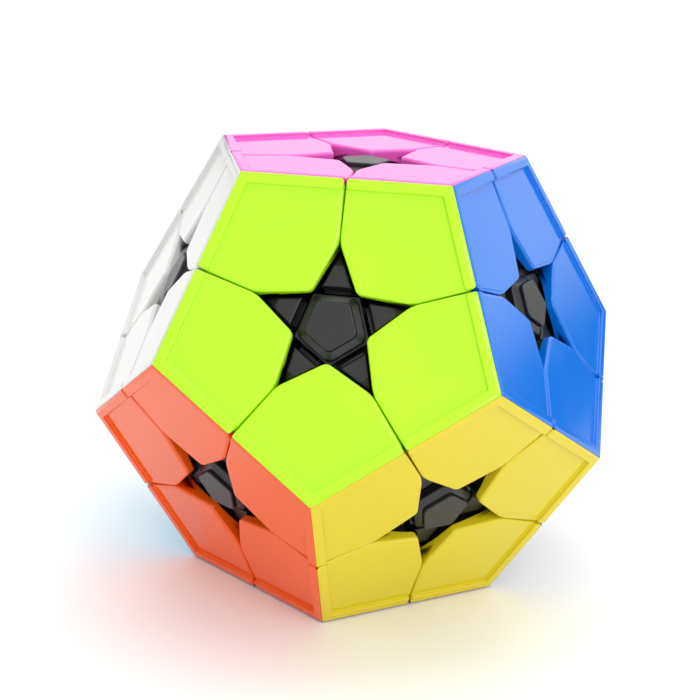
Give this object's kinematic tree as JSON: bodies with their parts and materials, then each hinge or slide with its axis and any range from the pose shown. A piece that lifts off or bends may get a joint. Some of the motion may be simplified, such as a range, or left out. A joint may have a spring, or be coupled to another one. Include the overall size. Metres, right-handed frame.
{
  "type": "dodecahedron twisty puzzle",
  "caption": "Dodecahedral twisting puzzle: coloured kite tiles round a star-shaped opening on each face, in layers that turn about a sprung core.",
  "frame": {"origin": "middle of the core, which is the middle of the solid", "axes": "+Z leaves through the middle of the top face, -Y is the side that the front face leans towards"},
  "size_m": [0.083, 0.0872, 0.071],
  "materials": {
    "pink_shell": "moulded, light gloss",
    "green_shell": "moulded, light gloss",
    "blue_shell": "moulded, light gloss",
    "red_shell": "moulded, light gloss",
    "cream_shell": "moulded, light gloss",
    "white_shell": "moulded, light gloss",
    "yellow_shell": "moulded, light gloss",
    "grey_shell": "moulded, light gloss",
    "dark_green_shell": "moulded, light gloss",
    "light_blue_shell": "moulded, light gloss",
    "orange_shell": "moulded, light gloss",
    "purple_shell": "moulded, light gloss",
    "black_cap": "moulded, light gloss",
    "black_mechanism": "moulded, light gloss",
    "core_plastic": "moulded, matt",
    "steel_hardware": "zinc plated",
    "spring_wire": "drawn wire"
  },
  "bodies": {
    "fixed_side": {"core": "core_plastic", "fixed_blue_shells": "blue_shell", "fixed_centres": "black_mechanism", "fixed_corner_frames": "black_mechanism", "fixed_cream_shells": "cream_shell", "fixed_dark_green_shells": "dark_green_shell", "fixed_edges": "black_mechanism", "fixed_grey_shells": "grey_shell", "fixed_light_blue_shells": "light_blue_shell", "fixed_orange_shells": "orange_shell", "fixed_pink_shells": "pink_shell", "fixed_white_shells": "white_shell", "fixed_yellow_shells": "yellow_shell", "left_cap": "black_cap", "lower_left_cap": "black_cap", "lower_right_cap": "black_cap", "rear_cap": "black_cap", "rear_left_cap": "black_cap", "right_cap": "black_cap", "tension_screws": "steel_hardware", "tension_springs": "spring_wire", "top_cap": "black_cap", "upper_left_cap": "black_cap", "upper_right_cap": "black_cap", "washers": "steel_hardware"},
    "front_layer": {"front_blue_shells": "blue_shell", "front_cap": "black_cap", "front_centres": "black_mechanism", "front_corner_frames": "black_mechanism", "front_edges": "black_mechanism", "front_green_shells": "green_shell", "front_orange_shells": "orange_shell", "front_pink_shells": "pink_shell", "front_white_shells": "white_shell", "front_yellow_shells": "yellow_shell"},
    "base_layer": {"base_cap": "black_cap", "base_centres": "black_mechanism", "base_corner_frames": "black_mechanism", "base_dark_green_shells": "dark_green_shell", "base_edges": "black_mechanism", "base_grey_shells": "grey_shell", "base_light_blue_shells": "light_blue_shell", "base_orange_shells": "orange_shell", "base_purple_shells": "purple_shell", "base_yellow_shells": "yellow_shell"},
    "rear_right_layer": {"rear_right_blue_shells": "blue_shell", "rear_right_cap": "black_cap", "rear_right_centres": "black_mechanism", "rear_right_corner_frames": "black_mechanism", "rear_right_cream_shells": "cream_shell", "rear_right_dark_green_shells": "dark_green_shell", "rear_right_edges": "black_mechanism", "rear_right_grey_shells": "grey_shell", "rear_right_pink_shells": "pink_shell", "rear_right_red_shells": "red_shell"}
  },
  "joints": [
    {"name": "front_turn", "type": "hinge", "parent": "fixed_side", "child": "front_layer", "pos_m": [0, 0, 0], "axis": [0, -0.8944, 0.4472], "continuous": true},
    {"name": "base_turn", "type": "hinge", "parent": "fixed_side", "child": "base_layer", "pos_m": [0, 0, 0], "axis": [0, 0, -1], "continuous": true},
    {"name": "rear_right_turn", "type": "hinge", "parent": "fixed_side", "child": "rear_right_layer", "pos_m": [0, 0, 0], "axis": [0.5257, 0.7236, 0.4472], "continuous": true}
  ]
}
